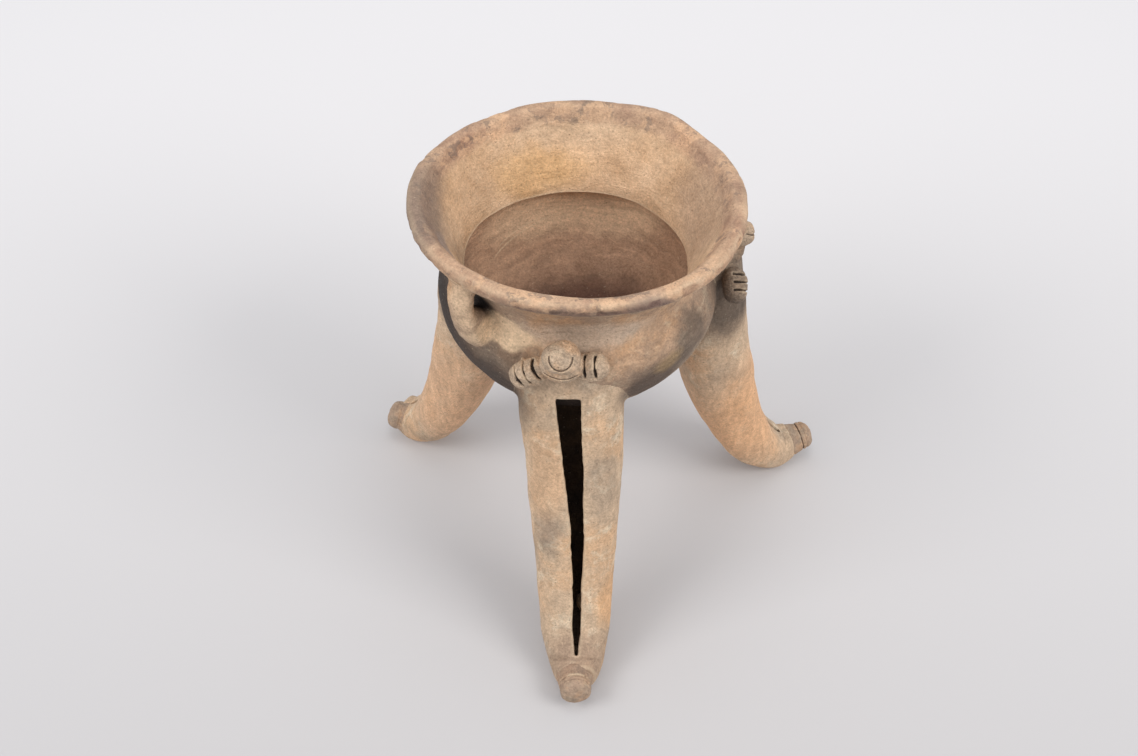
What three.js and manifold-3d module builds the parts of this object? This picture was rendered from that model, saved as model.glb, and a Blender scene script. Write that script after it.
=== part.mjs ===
// Tripod rattle vessel: a round clay bowl with a flared neck, on three hollow slit legs that hold rattle balls.
// Millimetres, +Z up, the floor at z = 0, the front leg towards -Y. Each luted lump of clay is its own solid.
import * as THREE from "three";
import { mergeVertices } from "three/addons/utils/BufferGeometryUtils.js";
import Module from "manifold-3d";

// Rim and neck. The rim circle runs along the middle of the lip.
const RIM_RADIUS = 85;
const RIM_HEIGHT = 256; // rim centre above the floor
const RIM_LEAN_BACK = 4.25; // degrees the front of the rim stands higher
const RIM_LEAN_SIDE = 1.35; // degrees the right of the rim hangs lower
const LIP_THICKNESS = 8.5;
const THROAT_RADIUS = 58;
const THROAT_DEPTH = 40; // throat edge below the rim
const NECK_WALL = 7;
const NECK_FOOT = 2.8; // how far the neck's foot spreads over the shoulder

// Bowl.
const BODY_RADIUS = 74;
const BODY_DEPTH = 60; // underside below the widest ring
const SHOULDER_HEIGHT = 13; // neck seam above the widest ring
const BODY_WALL = 6.5;
const BODY_SHIFT = 2; // the bowl sits a little to the right of the rim

// Legs, all three of one shape.
const LEG_RISE = 15; // leg top above the bowl's widest ring
const LEG_SINK = 12.4; // middle of the leg's top inside the bowl's widest ring
const HEEL_REACH = 127;
const LEG_DEPTH = 42; // front to back
const LEG_WIDTH = 55; // side to side
const LEG_WALL = 5.5;
const HEEL_WEAR = 0.9; // how much the standing wears off the heel

// Slit down the outer face of each leg. Aside is from the middle of the leg, less than nothing towards paw a.
const SLIT_TOP_DROP = 26; // below the leg's top
const SLIT_TOP_WIDTH = 12.6;
const SLIT_TOP_ASIDE = -3.6;
const SLIT_MIDDLE_WIDTH = 6.9;
const SLIT_MIDDLE_ASIDE = 1.4;
const SLIT_END_WIDTH = 2.2;
const SLIT_END_ASIDE = 0;

// Toe: collar, incised ring and end button.
const COLLAR_RADIUS = 9.4;
const COLLAR_LENGTH = 6.6;
const BUTTON_RADIUS = 8.4;
const BUTTON_LENGTH = 7;
const RING_DEPTH = 0.9;
const TOE_RISE = 12; // degrees above level

// Figure on top of each leg.
const HEAD_WIDTH = 17;
const HEAD_LENGTH = 20;
const HEAD_HEIGHT = 13.5;
const HEAD_PROUD = 8.5; // head centre out from the bowl's widest ring
const HEAD_RISE = 22; // and above it
const MOUTH_WIDTH = 11;
const MOUTH_DEPTH = 2.6;
const MOUTH_TILT = 42; // degrees the snout looks up
const LEDGE_WIDTH = 21;
const LEDGE_HEIGHT = 15;
const LEDGE_BACK = 4.4; // ledge centre behind the head's centre
const LEDGE_DROP = 8.6; // ledge centre below the head's centre
const PAW_HEIGHT = 15;
const PAW_THICKNESS = 14;
const PAW_PROUD = 3.5; // pad's centre out from the clay it is pressed on
const GROOVE_WIDTH = 1;
const GROOVE_DEPTH = 3.2;

// Strap handles, from under the lip to the shoulder.
const STRAP_WIDTH = 14.5;
const STRAP_THICKNESS = 9.5;
const STRAP_TOP_DROP = 4; // below the rim
const STRAP_FOOT_RISE = 3; // above the bowl's widest ring
const STRAP_SINK = 4; // how far its ends reach into the wall
const STRAP_BOW = 7;

// Rattle balls: wider than the slit, so they stay in the leg.
const PELLET_RADIUS = 7;
const PELLET_SPACING = 0.8; // between the two in a leg
const PELLET_PLAY = 0.9; // from the cavity's wall at rest

const GAP = 0.3; // seam between luted pieces
const MERGE = 1e-4;

// Each leg has its own bearing and stance, as the potter set it: shift moves it off the vessel's axis, toe is how
// far out, aside and up the toe sits from the leg's end, and toeTurn how many degrees it is twisted round. The
// figure over it has a bearing of its own, and its head and paws are pressed on a little out and aside of their
// common places.
const LEGS = [
  {
    name: "front",
    bearing: -88.8,
    shift: [-2.8, 2],
    toe: [0, -0.8, 0],
    toeTurn: 0,
    figure: { bearing: -96, head: [0, 1.8], paws: [[0, 0], [0, 0]] },
  },
  {
    name: "right",
    bearing: 16,
    shift: [8.4, -0.4],
    toe: [1.4, 0, -0.4],
    toeTurn: 0,
    figure: { bearing: 6, head: [2.6, 4.6], paws: [[-5.6, -6], [-6, 2]] },
  },
  {
    name: "left",
    bearing: 150.3,
    shift: [4.4, -5.2],
    toe: [-7.5, 4.5, 0.6],
    toeTurn: 20,
    figure: { bearing: 144, head: [-2, 0], paws: [[0, 0], [0, 0]] },
  },
];
// The paws beside each head: width, distance to the side, rise above the bowl's widest ring, and lean of the
// digits in degrees.
const PAWS = [
  { letter: "a", side: -1, digits: 4, width: 20, aside: 13, rise: 8, splay: 25 },
  { letter: "b", side: 1, digits: 3, width: 16, aside: 16.5, rise: 13.5, splay: 0 },
];
const HANDLES = [
  { name: "front", bearing: -132.5 },
  { name: "back", bearing: 47.5 },
];
// Where the lip is pushed out or in: bearing and spread in degrees, push in millimetres.
const RIM_DENTS = [
  { bearing: 57, spread: 9, push: 3.6 },
  { bearing: 125, spread: 28, push: -2.6 },
  { bearing: -50, spread: 24, push: 1.2 },
];

// Curve shapes: how late the neck turns outwards (1 is a cone), and how full the bowl is (2 is an ellipse).
const NECK_CURVE = 2.2;
const MOUTH_CURVE = 1.45;
const BODY_FULLNESS = 1.92;
const SHOULDER_ARC = Math.PI / 2.6;

// The leg's shape from top to toe, in shares of the way out to the heel, height, half depth and half width.
const LEG_STATIONS = [
  [0, 1, 0.52, 0.78],
  [0.01, 0.952, 0.84, 0.96],
  [0.064, 0.82, 0.93, 1],
  [0.107, 0.705, 0.98, 0.965],
  [0.194, 0.56, 1, 0.91],
  [0.33, 0.395, 0.94, 0.85],
  [0.524, 0.238, 0.82, 0.79],
  [0.748, 0.12, 0.72, 0.71],
  [1, 0.056, 0.61, 0.54],
  [1.16, 0.064, 0.46, 0.39],
];
// Where the slit and the cavity end, as shares of the leg's middle line.
const SLIT_END = 0.9;
const CAVITY_END = 0.84;

// How finely the curves are stepped.
const ROUND_STEPS = 38;
const NECK_STEPS = 7;
const LIP_STEPS = 5;
const BOWL_STEPS = 10;
const SHOULDER_STEPS = 4;
const LEG_RINGS = 20;
const LEG_SIDES = 20;
const CAVITY_RINGS = 12;
const CAVITY_SIDES = 12;
const SLIT_STEPS = 16;
const TOE_STEPS = 16;
const LUMP_STEPS = 12;
const STRAP_RINGS = 12;
const STRAP_SIDES = 10;
const MOUTH_RINGS = 12;
const MOUTH_SIDES = 6;

const CLAY = {
  body: { color: 0x7a6657, roughness: 0.88, metalness: 0 },
  neck: { color: 0xb08a68, roughness: 0.9, metalness: 0 },
  leg: { color: 0xb39a7f, roughness: 0.92, metalness: 0 },
  toe: { color: 0xa98a6e, roughness: 0.9, metalness: 0 },
  figure: { color: 0x8f7a66, roughness: 0.92, metalness: 0 },
  handle: { color: 0xa78a6b, roughness: 0.93, metalness: 0 },
  pellet: { color: 0x9a7858, roughness: 0.95, metalness: 0 },
};

const wasm = await Module();
wasm.setup();

const rad = THREE.MathUtils.degToRad;
const lerp = THREE.MathUtils.lerp;
const shifted = (x, y, z) => new THREE.Matrix4().makeTranslation(x, y, z);
const moved = (made, matrix) => made.transform(matrix.elements);

// A closed geometry as a solid facing out, without the seams three.js leaves at poles and joins.
function solid(geometry) {
  const bare = geometry.clone();
  bare.deleteAttribute("normal");
  bare.deleteAttribute("uv");
  const merged = mergeVertices(bare, MERGE);
  const from = merged.index.array;
  const kept = [];
  for (let i = 0; i < from.length; i += 3) {
    const [a, b, c] = [from[i], from[i + 1], from[i + 2]];
    if (a !== b && b !== c && c !== a) kept.push(a, b, c);
  }
  const make = (triVerts) =>
    new wasm.Manifold(
      new wasm.Mesh({
        numProp: 3,
        vertProperties: merged.attributes.position.array,
        triVerts,
      }),
    );
  const made = make(new Uint32Array(kept));
  return made.volume() > 0 ? made : make(new Uint32Array(kept).reverse());
}

// Skin over rings of equally many points. Closed round, or with each end ring closed to its middle.
function skin(rings, round = false) {
  const sides = rings[0].length;
  const positions = rings.flat().flatMap((p) => [p.x, p.y, p.z]);
  const index = [];
  const last = round ? rings.length : rings.length - 1;
  for (let i = 0; i < last; i++) {
    for (let j = 0; j < sides; j++) {
      const a = i * sides + j;
      const b = i * sides + ((j + 1) % sides);
      const c = ((i + 1) % rings.length) * sides + j;
      const d = ((i + 1) % rings.length) * sides + ((j + 1) % sides);
      index.push(a, b, c, b, d, c);
    }
  }
  const ends = round ? [] : [
    { ring: rings[0], start: 0, first: true },
    { ring: rings[last], start: last * sides, first: false },
  ];
  for (const { ring, start, first } of ends) {
    const middle = new THREE.Vector3();
    ring.forEach((p) => middle.addScaledVector(p, 1 / sides));
    const hub = positions.length / 3;
    positions.push(middle.x, middle.y, middle.z);
    for (let j = 0; j < sides; j++) {
      const a = start + j;
      const b = start + ((j + 1) % sides);
      index.push(...(first ? [b, a, hub] : [a, b, hub]));
    }
  }
  return new THREE.BufferGeometry()
    .setAttribute("position", new THREE.Float32BufferAttribute(positions, 3))
    .setIndex(index);
}

// An oval bar along a path: at(share) gives the middle and the two half axes of the section there.
function bar(rings, sides, at) {
  const stack = [];
  for (let i = 0; i <= rings; i++) {
    const { middle, across, up } = at(i / rings);
    const ring = [];
    for (let j = 0; j < sides; j++) {
      const a = (j / sides) * Math.PI * 2;
      ring.push(middle.clone().addScaledVector(across, Math.cos(a)).addScaledVector(up, Math.sin(a)));
    }
    stack.push(ring);
  }
  return solid(skin(stack));
}

// An egg-shaped lump of clay about a place.
function lump(length, width, height, place = new THREE.Vector3()) {
  const shape = new THREE.SphereGeometry(0.5, LUMP_STEPS, Math.round(LUMP_STEPS * 0.6));
  shape.rotateX(Math.PI / 2);
  shape.scale(length, width, height);
  shape.translate(place.x, place.y, place.z);
  return solid(shape);
}

// Cuts a piece back from its neighbours and keeps its main body; thin offcuts fall away.
function fitted(made, ...neighbours) {
  const cut = neighbours.reduce((left, keep) => left.subtract(keep), made);
  return cut.decompose().sort((a, b) => b.volume() - a.volume())[0];
}

const vessel = new THREE.Group();

function addPiece(name, made, clay) {
  const mesh = made.getMesh();
  const geometry = new THREE.BufferGeometry()
    .setAttribute("position", new THREE.BufferAttribute(mesh.vertProperties, 3))
    .setIndex(new THREE.BufferAttribute(mesh.triVerts, 1));
  geometry.computeVertexNormals();
  const piece = new THREE.Mesh(geometry, new THREE.MeshStandardMaterial(clay));
  piece.name = name;
  vessel.add(piece);
}

// The upper vessel's own frame: its axis leans with the rim, and z is measured from the rim's centre.
const lean = shifted(0, 0, RIM_HEIGHT)
  .multiply(new THREE.Matrix4().makeRotationX(rad(-RIM_LEAN_BACK)))
  .multiply(new THREE.Matrix4().makeRotationY(rad(RIM_LEAN_SIDE)));

// A place on the upper vessel: x points out from the axis, y to the left of that, z up.
function onVessel(bearing) {
  return lean.clone().multiply(new THREE.Matrix4().makeRotationZ(rad(bearing)));
}

// Levels and radii that the neck, the bowl and all that is luted to them share.
const seamZ = -THROAT_DEPTH;
const widestZ = seamZ - SHOULDER_HEIGHT;
const lipHalf = LIP_THICKNESS / 2;
const lipRadius = RIM_RADIUS - lipHalf;
const neckRadius = THROAT_RADIUS + NECK_WALL;
const seamRadius = neckRadius + NECK_FOOT;

// Outer radius of the neck at a share of its height: the foot dies out by a third of the way up.
function neckRadiusAt(share) {
  const foot = NECK_FOOT * Math.max(0, 1 - 3 * share) ** 2;
  return neckRadius + foot + (lipRadius - neckRadius) * share ** NECK_CURVE;
}

function neckOutside() {
  const points = [];
  for (let i = 0; i <= NECK_STEPS; i++) {
    const share = i / NECK_STEPS;
    points.push(new THREE.Vector2(neckRadiusAt(share), lerp(seamZ, -lipHalf, share)));
  }
  return points;
}

// The round of the lip, from the end of the outside over the top.
function lip() {
  const points = [];
  for (let i = 1; i < LIP_STEPS; i++) {
    const a = lerp(-Math.PI / 2, Math.PI * 0.72, i / LIP_STEPS);
    points.push(new THREE.Vector2(lipRadius + lipHalf * Math.cos(a), lipHalf * Math.sin(a)));
  }
  return points;
}

function neckInside() {
  const points = [];
  const top = new THREE.Vector2(lipRadius - lipHalf * 0.9, lipHalf * 0.6);
  for (let i = NECK_STEPS; i >= 0; i--) {
    const share = i / NECK_STEPS;
    const r = THROAT_RADIUS + (top.x - THROAT_RADIUS) * share ** MOUTH_CURVE;
    points.push(new THREE.Vector2(r, lerp(seamZ, top.y, share)));
  }
  return points;
}

// How far the lip is pushed at a bearing.
function rimPush(bearing) {
  return RIM_DENTS.reduce((sum, dent) => {
    const away = THREE.MathUtils.euclideanModulo(bearing - dent.bearing + 180, 360) - 180;
    return sum + dent.push * Math.exp(-0.5 * (away / dent.spread) ** 2);
  }, 0);
}

// A profile turned about the vessel's axis, with the pushes of the lip fading out towards the seam.
function turned(profile) {
  const rings = [];
  for (let i = 0; i < ROUND_STEPS; i++) {
    const bearing = (i / ROUND_STEPS) * 360;
    const push = rimPush(bearing);
    const turn = onVessel(bearing);
    rings.push(
      profile.map((p) => {
        const share = Math.max(0, 1 - p.y / seamZ) ** 1.5;
        return new THREE.Vector3(p.x + push * share, 0, p.y).applyMatrix4(turn);
      }),
    );
  }
  return solid(skin(rings, true));
}

addPiece("flared_neck", turned([...neckOutside(), ...lip(), ...neckInside()]), CLAY.neck);

// Bowl outline from the bottom up to the seam; inset moves it in from the outside, and out when negative.
function bowlOutline(inset, top) {
  const points = [];
  const power = 2 / BODY_FULLNESS;
  for (let i = 0; i <= BOWL_STEPS; i++) {
    const a = (i / BOWL_STEPS) * (Math.PI / 2);
    const r = (BODY_RADIUS - inset) * Math.sin(a) ** power;
    const z = widestZ - (BODY_DEPTH - inset) * Math.cos(a) ** power;
    points.push(new THREE.Vector2(r, z));
  }
  for (let i = 1; i <= SHOULDER_STEPS; i++) {
    const a = (i / SHOULDER_STEPS) * SHOULDER_ARC;
    const drawn = (1 - Math.cos(a)) / (1 - Math.cos(SHOULDER_ARC));
    const risen = Math.sin(a) / Math.sin(SHOULDER_ARC);
    const r = BODY_RADIUS - inset - (BODY_RADIUS - seamRadius) * drawn;
    points.push(new THREE.Vector2(r, lerp(widestZ, top, risen)));
  }
  return points;
}

function bowlShape(points) {
  const shape = new THREE.LatheGeometry(points, ROUND_STEPS);
  shape.rotateX(Math.PI / 2);
  shape.translate(BODY_SHIFT, 0, 0);
  shape.applyMatrix4(lean);
  return solid(shape);
}

const bowlTop = seamZ - GAP;
addPiece(
  "vessel_body",
  bowlShape([...bowlOutline(0, bowlTop), ...bowlOutline(BODY_WALL, bowlTop).reverse()]),
  CLAY.body,
);

// The bowl and neck as one filled form, one gap larger all over: what is luted on is cut back to it.
const bowlKeep = bowlShape([...bowlOutline(-GAP, seamZ + GAP), new THREE.Vector2(0, seamZ + GAP)]);
const neckKeep = turned([
  new THREE.Vector2(THROAT_RADIUS / 2, seamZ - GAP),
  ...neckOutside().map((p) => new THREE.Vector2(p.x + GAP, p.y - GAP)),
  ...lip().map((p) => new THREE.Vector2(p.x + GAP, p.y)),
  new THREE.Vector2(THROAT_RADIUS / 2, lipHalf + GAP),
]);
const vesselKeep = bowlKeep.add(neckKeep);

// One leg's shape: a middle line and section sizes in the leg's own upright plane.
const legTop = RIM_HEIGHT + widestZ + LEG_RISE;
const legTopReach = BODY_RADIUS - LEG_SINK;
const smoothLine = (points) => new THREE.CatmullRomCurve3(points, false, "centripetal");
const middleLine = smoothLine(
  LEG_STATIONS.map(
    ([way, height]) => new THREE.Vector3(lerp(legTopReach, HEEL_REACH, way), 0, height * legTop),
  ),
);
const sizeLine = smoothLine(
  LEG_STATIONS.map(
    ([, , depth, width]) => new THREE.Vector3((depth * LEG_DEPTH) / 2, (width * LEG_WIDTH) / 2, 0),
  ),
);

// The outward normal and the half sizes of the section at t, 0 at the top and 1 at the toe.
function sectionAt(t) {
  const along = middleLine.getTangent(t);
  const size = sizeLine.getPoint(t);
  return {
    middle: middleLine.getPoint(t),
    out: new THREE.Vector3(-along.z, 0, along.x),
    depth: size.x,
    width: size.y,
  };
}

function legSkin(sides, rings, from, to, inset) {
  return bar(rings, sides, (share) => {
    const s = sectionAt(lerp(from, to, share));
    return {
      middle: s.middle,
      across: s.out.clone().multiplyScalar(s.depth - inset),
      up: new THREE.Vector3(0, s.width - inset, 0),
    };
  });
}

// The last share of the middle line, going down the leg, where a test holds.
function lastShare(test) {
  let [low, high] = [0, 1];
  for (let i = 0; i < 30; i++) {
    const middle = (low + high) / 2;
    if (test(middle)) low = middle;
    else high = middle;
  }
  return low;
}
const shareAtHeight = (height) => lastShare((t) => middleLine.getPoint(t).z > height);

const slitTopHeight = legTop - SLIT_TOP_DROP;
const slitTop = shareAtHeight(slitTopHeight);
const cavityTop = shareAtHeight(slitTopHeight + LEG_WALL);

// A wedge from the middle of the leg out through its front, squarish at the top and narrow at the end.
function slitWedge() {
  const overHalves = (share, top, middle, end) =>
    share < 0.5 ? lerp(top, middle, share * 2) : lerp(middle, end, share * 2 - 1);
  const stack = [];
  for (let i = 0; i <= SLIT_STEPS; i++) {
    const share = i / SLIT_STEPS;
    const s = sectionAt(lerp(slitTop, SLIT_END, share));
    const width = overHalves(share, SLIT_TOP_WIDTH, SLIT_MIDDLE_WIDTH, SLIT_END_WIDTH);
    const aside = overHalves(share, SLIT_TOP_ASIDE, SLIT_MIDDLE_ASIDE, SLIT_END_ASIDE);
    const inner = s.middle.clone().setY(aside);
    const outer = inner.clone().addScaledVector(s.out, s.depth + LEG_WALL);
    const side = new THREE.Vector3(0, width / 2, 0);
    stack.push([
      inner.clone().sub(side),
      outer.clone().sub(side),
      outer.clone().add(side),
      inner.clone().add(side),
    ]);
  }
  return solid(skin(stack));
}

const legOuter = legSkin(LEG_SIDES, LEG_RINGS, 0, 1, 0);
const legKeep = legSkin(LEG_SIDES, LEG_RINGS, 0, 1, -GAP);
const legCavity = legSkin(CAVITY_SIDES, CAVITY_RINGS, cavityTop, CAVITY_END, LEG_WALL);
const legShell = legOuter.subtract(legCavity).subtract(slitWedge());
const legDrop = -legOuter.boundingBox().min[2] - HEEL_WEAR;
const floorSize = 2 * (HEEL_REACH + LEG_WIDTH);
const floorBlock = solid(
  new THREE.BoxGeometry(floorSize, floorSize, floorSize).translate(0, 0, -floorSize / 2),
);

function legFrame(leg) {
  const [x, y] = leg.shift;
  return shifted(x, y, legDrop).multiply(new THREE.Matrix4().makeRotationZ(rad(leg.bearing)));
}

// Toe, turned about its own axis, which goes on from the leg's end and rises.
function toeShape() {
  const ring = COLLAR_LENGTH + RING_DEPTH;
  const length = COLLAR_LENGTH + BUTTON_LENGTH;
  const profile = [
    [0, 0],
    [COLLAR_RADIUS * 0.9, 0],
    [COLLAR_RADIUS, COLLAR_LENGTH * 0.35],
    [COLLAR_RADIUS * 0.97, COLLAR_LENGTH * 0.8],
    [COLLAR_RADIUS * 0.87, COLLAR_LENGTH],
    [BUTTON_RADIUS - RING_DEPTH, ring],
    [BUTTON_RADIUS, ring + RING_DEPTH],
    [BUTTON_RADIUS * 0.95, lerp(ring, length, 0.55)],
    [BUTTON_RADIUS * 0.76, lerp(ring, length, 0.84)],
    [BUTTON_RADIUS * 0.42, lerp(ring, length, 0.97)],
    [0, length],
  ].map(([r, along]) => new THREE.Vector2(r, along));
  const shape = new THREE.LatheGeometry(profile, TOE_STEPS);
  shape.rotateZ(-Math.PI / 2);
  shape.rotateY(-rad(TOE_RISE));
  return solid(shape);
}

// Head: an egg of a skull over a ledge under the chin, both in the vessel's frame at bearing 0.
const headPlace = new THREE.Vector3(BODY_RADIUS + HEAD_PROUD, 0, widestZ + HEAD_RISE);
function headShape(grown) {
  const more = grown * 2;
  const ledgePlace = headPlace.clone().add(new THREE.Vector3(-LEDGE_BACK, 0, -LEDGE_DROP));
  const skull = lump(HEAD_LENGTH + more, HEAD_WIDTH + more, HEAD_HEIGHT + more, headPlace);
  const ledge = lump(HEAD_LENGTH + more, LEDGE_WIDTH + more, LEDGE_HEIGHT + more, ledgePlace);
  return skull.add(ledge);
}

// The mouth: a groove bent like a U, sunk into the snout.
function mouthGroove() {
  const place = shifted(...headPlace).multiply(new THREE.Matrix4().makeRotationY(-rad(MOUTH_TILT)));
  const bed = HEAD_LENGTH * 0.32; // from the head's centre to the middle of the groove's depth
  const groove = bar(MOUTH_RINGS, MOUTH_SIDES, (share) => {
    const a = lerp(0.1, -1.1, share) * Math.PI;
    const spoke = new THREE.Vector3(0, Math.cos(a), Math.sin(a));
    return {
      middle: spoke.clone().multiplyScalar(MOUTH_WIDTH / 2).setX(bed),
      across: spoke.clone().multiplyScalar(GROOVE_WIDTH / 2),
      up: new THREE.Vector3(MOUTH_DEPTH, 0, 0),
    };
  });
  return moved(groove, place);
}

// A paw is one pad, parted into digits by grooves over its upper edge.
function pawShape({ side, digits, width, splay }) {
  let pad = lump(PAW_THICKNESS, width, PAW_HEIGHT);
  for (let i = 1; i < digits; i++) {
    const groove = new THREE.BoxGeometry(GROOVE_DEPTH * 2, GROOVE_WIDTH, PAW_HEIGHT * 0.8);
    groove.translate(PAW_THICKNESS / 2, (i / digits - 0.5) * width * 0.9, PAW_HEIGHT * 0.15);
    pad = pad.subtract(solid(groove));
  }
  return moved(pad, new THREE.Matrix4().makeRotationX(rad(-side * splay)));
}

// How far out the clay stands in a frame, behind a pad aside and up in it.
function clayBehind(made, frame, width, aside, up) {
  const reach = 2 * BODY_RADIUS;
  const probe = solid(new THREE.BoxGeometry(reach, width, PAW_HEIGHT).translate(reach / 2, aside, up));
  return moved(made, frame.clone().invert()).intersect(probe).boundingBox().max[0];
}

const toe = toeShape();
const legEnd = middleLine.getPoint(1);
const head = headShape(0).subtract(mouthGroove());
const headKeep = headShape(GAP);
for (const leg of LEGS) {
  const frame = legFrame(leg);
  const ownKeep = moved(legKeep, frame);
  const toeFrame = frame.clone().multiply(shifted(legEnd.x, 0, legEnd.z)).multiply(shifted(...leg.toe))
    .multiply(new THREE.Matrix4().makeRotationZ(rad(leg.toeTurn)));
  addPiece("leg_" + leg.name, fitted(moved(legShell, frame), vesselKeep, floorBlock), CLAY.leg);
  addPiece("toe_" + leg.name, fitted(moved(toe, toeFrame), ownKeep, floorBlock), CLAY.toe);

  const keep = vesselKeep.add(ownKeep);
  const { bearing, head: headMove, paws: pawMoves } = leg.figure;
  const figureFrame = onVessel(bearing);
  const headFrame = figureFrame.clone().multiply(shifted(...headMove, 0));
  addPiece("head_" + leg.name, fitted(moved(head, headFrame), keep), CLAY.figure);
  PAWS.forEach((paw, i) => {
    const [out, aside] = pawMoves[i];
    const y = paw.side * paw.aside + aside;
    const z = widestZ + paw.rise;
    const x = clayBehind(keep, figureFrame, paw.width, y, z) + PAW_PROUD + out;
    const pawFrame = figureFrame.clone().multiply(shifted(x, y, z));
    const pad = fitted(moved(pawShape(paw), pawFrame), keep, moved(headKeep, headFrame));
    addPiece("paw_" + leg.name + "_" + paw.letter, pad, CLAY.figure);
  });
}

// A strap springs from the neck just under the lip, bows out and lands on the bowl.
function strapShape() {
  const topShare = (seamZ + STRAP_TOP_DROP) / (seamZ + lipHalf);
  const top = new THREE.Vector3(neckRadiusAt(Math.min(1, topShare)) - STRAP_SINK, 0, -STRAP_TOP_DROP);
  const foot = new THREE.Vector3(BODY_RADIUS - STRAP_SINK, 0, widestZ + STRAP_FOOT_RISE);
  return bar(STRAP_RINGS, STRAP_SIDES, (share) => {
    const turn = Math.PI * share;
    const middle = foot.clone().lerp(top, (1 - Math.cos(turn)) / 2);
    return {
      middle: middle.add(new THREE.Vector3(STRAP_BOW * Math.sin(turn), 0, 0)),
      across: new THREE.Vector3(STRAP_THICKNESS / 2, 0, 0),
      up: new THREE.Vector3(0, STRAP_WIDTH / 2, 0),
    };
  });
}

for (const handle of HANDLES) {
  const strap = fitted(moved(strapShape(), onVessel(handle.bearing)), vesselKeep);
  addPiece("handle_" + handle.name, strap, CLAY.handle);
}

// The balls lie side by side, as low as the cavity is wide enough for both.
const pelletAside = PELLET_RADIUS + PELLET_SPACING / 2;
const pelletRoom = pelletAside + PELLET_RADIUS + PELLET_PLAY + LEG_WALL;
const pelletRest = middleLine.getPoint(lastShare((t) => t < slitTop || sectionAt(t).width > pelletRoom));
for (const leg of LEGS) {
  for (const { letter, side } of PAWS) {
    const place = new THREE.Vector3(pelletRest.x, side * pelletAside, pelletRest.z);
    const ball = lump(PELLET_RADIUS * 2, PELLET_RADIUS * 2, PELLET_RADIUS * 2, place);
    addPiece("pellet_" + leg.name + "_" + letter, moved(ball, legFrame(leg)), CLAY.pellet);
  }
}

// The origin is on the floor, midway between the outermost sides.
const bounds = new THREE.Box3().setFromObject(vessel);
const centre = bounds.getCenter(new THREE.Vector3());
vessel.position.set(-centre.x, -centre.y, -bounds.min.z);

const root = new THREE.Group();
root.name = "tripod_rattle_vessel";
root.add(vessel);

export default root;
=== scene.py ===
import math

import bmesh
import bpy
import numpy as np
from mathutils import Matrix, Vector, noise
from mathutils.bvhtree import BVHTree


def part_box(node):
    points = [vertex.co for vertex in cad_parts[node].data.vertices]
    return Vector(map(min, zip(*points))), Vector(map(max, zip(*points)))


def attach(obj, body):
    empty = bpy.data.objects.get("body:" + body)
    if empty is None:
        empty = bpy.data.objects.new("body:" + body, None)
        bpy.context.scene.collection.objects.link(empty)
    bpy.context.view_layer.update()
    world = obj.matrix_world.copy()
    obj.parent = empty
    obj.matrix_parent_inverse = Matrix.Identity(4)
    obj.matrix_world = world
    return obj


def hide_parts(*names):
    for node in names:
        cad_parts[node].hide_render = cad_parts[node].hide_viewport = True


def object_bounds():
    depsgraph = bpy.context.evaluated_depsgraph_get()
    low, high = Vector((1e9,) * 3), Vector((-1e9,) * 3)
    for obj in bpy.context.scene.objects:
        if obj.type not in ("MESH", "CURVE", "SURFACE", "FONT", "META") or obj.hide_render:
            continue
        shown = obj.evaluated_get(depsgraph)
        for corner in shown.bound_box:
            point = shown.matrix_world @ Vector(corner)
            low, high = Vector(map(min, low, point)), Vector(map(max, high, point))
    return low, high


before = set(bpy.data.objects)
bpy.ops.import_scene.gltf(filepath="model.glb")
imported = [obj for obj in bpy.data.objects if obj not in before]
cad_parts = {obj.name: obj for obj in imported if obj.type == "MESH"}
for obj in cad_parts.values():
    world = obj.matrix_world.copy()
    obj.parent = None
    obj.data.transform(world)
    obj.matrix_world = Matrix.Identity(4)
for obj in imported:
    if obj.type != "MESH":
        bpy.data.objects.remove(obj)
cadLow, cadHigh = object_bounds()
world = bpy.context.scene.world or bpy.data.worlds.new("studio")
bpy.context.scene.world = world
bpy.context.scene.view_settings.view_transform = "Standard"
rad = math.radians


def linear(hexColour):
    # sRGB hex to the linear values that Blender's colour sockets hold
    parts = [int(hexColour[i:i + 2], 16) / 255 for i in (1, 3, 5)]
    return [p / 12.92 if p <= 0.04045 else ((p + 0.055) / 1.055) ** 2.4 for p in parts] + [1]


def addNode(tree, kind, inputs=None, **settings):
    # a node with its settings, and its sockets either linked or set
    node = tree.nodes.new("ShaderNode" + kind)
    for key, value in settings.items():
        setattr(node, key, value)
    for socket, value in (inputs or {}).items():
        if isinstance(value, bpy.types.NodeSocket):
            tree.links.new(value, node.inputs[socket])
        else:
            node.inputs[socket].default_value = value
    return node


def toObject(bm, name):
    mesh = bpy.data.meshes.new(name)
    bm.to_mesh(mesh)
    bm.free()
    made = bpy.data.objects.new(name, mesh)
    bpy.context.scene.collection.objects.link(made)
    return made


def blend(low, high, x):
    # smooth step from 0 at low to 1 at high
    share = min(1, max(0, (x - low) / (high - low)))
    return share * share * (3 - 2 * share)


def bell(x, middle, reach):
    return math.exp(-((x - middle) / reach) ** 2)


def squared(x, squareness):
    # bends a sine or cosine so that a round, at 2, grows squarer
    return math.copysign(abs(x) ** (2 / squareness), x)


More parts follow.
